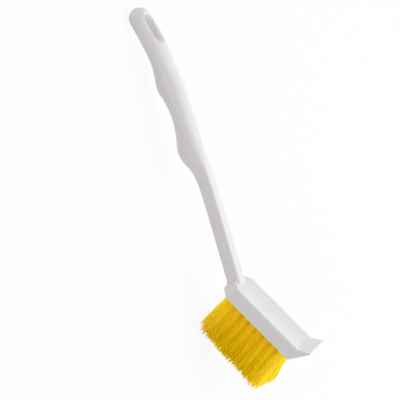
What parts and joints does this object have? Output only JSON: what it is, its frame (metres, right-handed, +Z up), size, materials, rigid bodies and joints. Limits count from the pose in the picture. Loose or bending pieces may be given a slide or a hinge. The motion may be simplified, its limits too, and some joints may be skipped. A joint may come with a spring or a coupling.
{
  "type": "dish brush",
  "caption": "Long-handled dish brush: rectangular block of tufts with a flared scraper lip, slim neck, and a grip with finger bumps and a hang hole.",
  "frame": {"origin": "centre of the bounding box at the surface the brush lies on, bristles down", "axes": "+X towards the scraper lip, +Y across the head, +Z up; the grip's end and the rear bristle tips touch Z = 0"},
  "size_m": [0.2884, 0.0368, 0.0821],
  "materials": {
    "body": "satin white moulded plastic",
    "bristle": "translucent yellow filament",
    "anchor": "flat wire"
  },
  "bodies": {
    "root": {"brush_body": "body", "tuft_r1_c1": "bristle", "tuft_r1_c2": "bristle", "tuft_r1_c3": "bristle", "tuft_r1_c4": "bristle", "tuft_r1_c5": "bristle", "tuft_r1_c6": "bristle", "tuft_r1_c7": "bristle", "tuft_r1_c8": "bristle", "tuft_r2_c1": "bristle", "tuft_r2_c2": "bristle", "tuft_r2_c3": "bristle", "tuft_r2_c4": "bristle", "tuft_r2_c5": "bristle", "tuft_r2_c6": "bristle", "tuft_r2_c7": "bristle", "tuft_r2_c8": "bristle", "tuft_r3_c1": "bristle", "tuft_r3_c2": "bristle", "tuft_r3_c3": "bristle", "tuft_r3_c4": "bristle", "tuft_r3_c5": "bristle", "tuft_r3_c6": "bristle", "tuft_r3_c7": "bristle", "tuft_r3_c8": "bristle", "tuft_r4_c1": "bristle", "tuft_r4_c2": "bristle", "tuft_r4_c3": "bristle", "tuft_r4_c4": "bristle", "tuft_r4_c5": "bristle", "tuft_r4_c6": "bristle", "tuft_r4_c7": "bristle", "tuft_r4_c8": "bristle", "anchors_row_1": "anchor", "anchors_row_2": "anchor", "anchors_row_3": "anchor", "anchors_row_4": "anchor"}
  },
  "joints": []
}
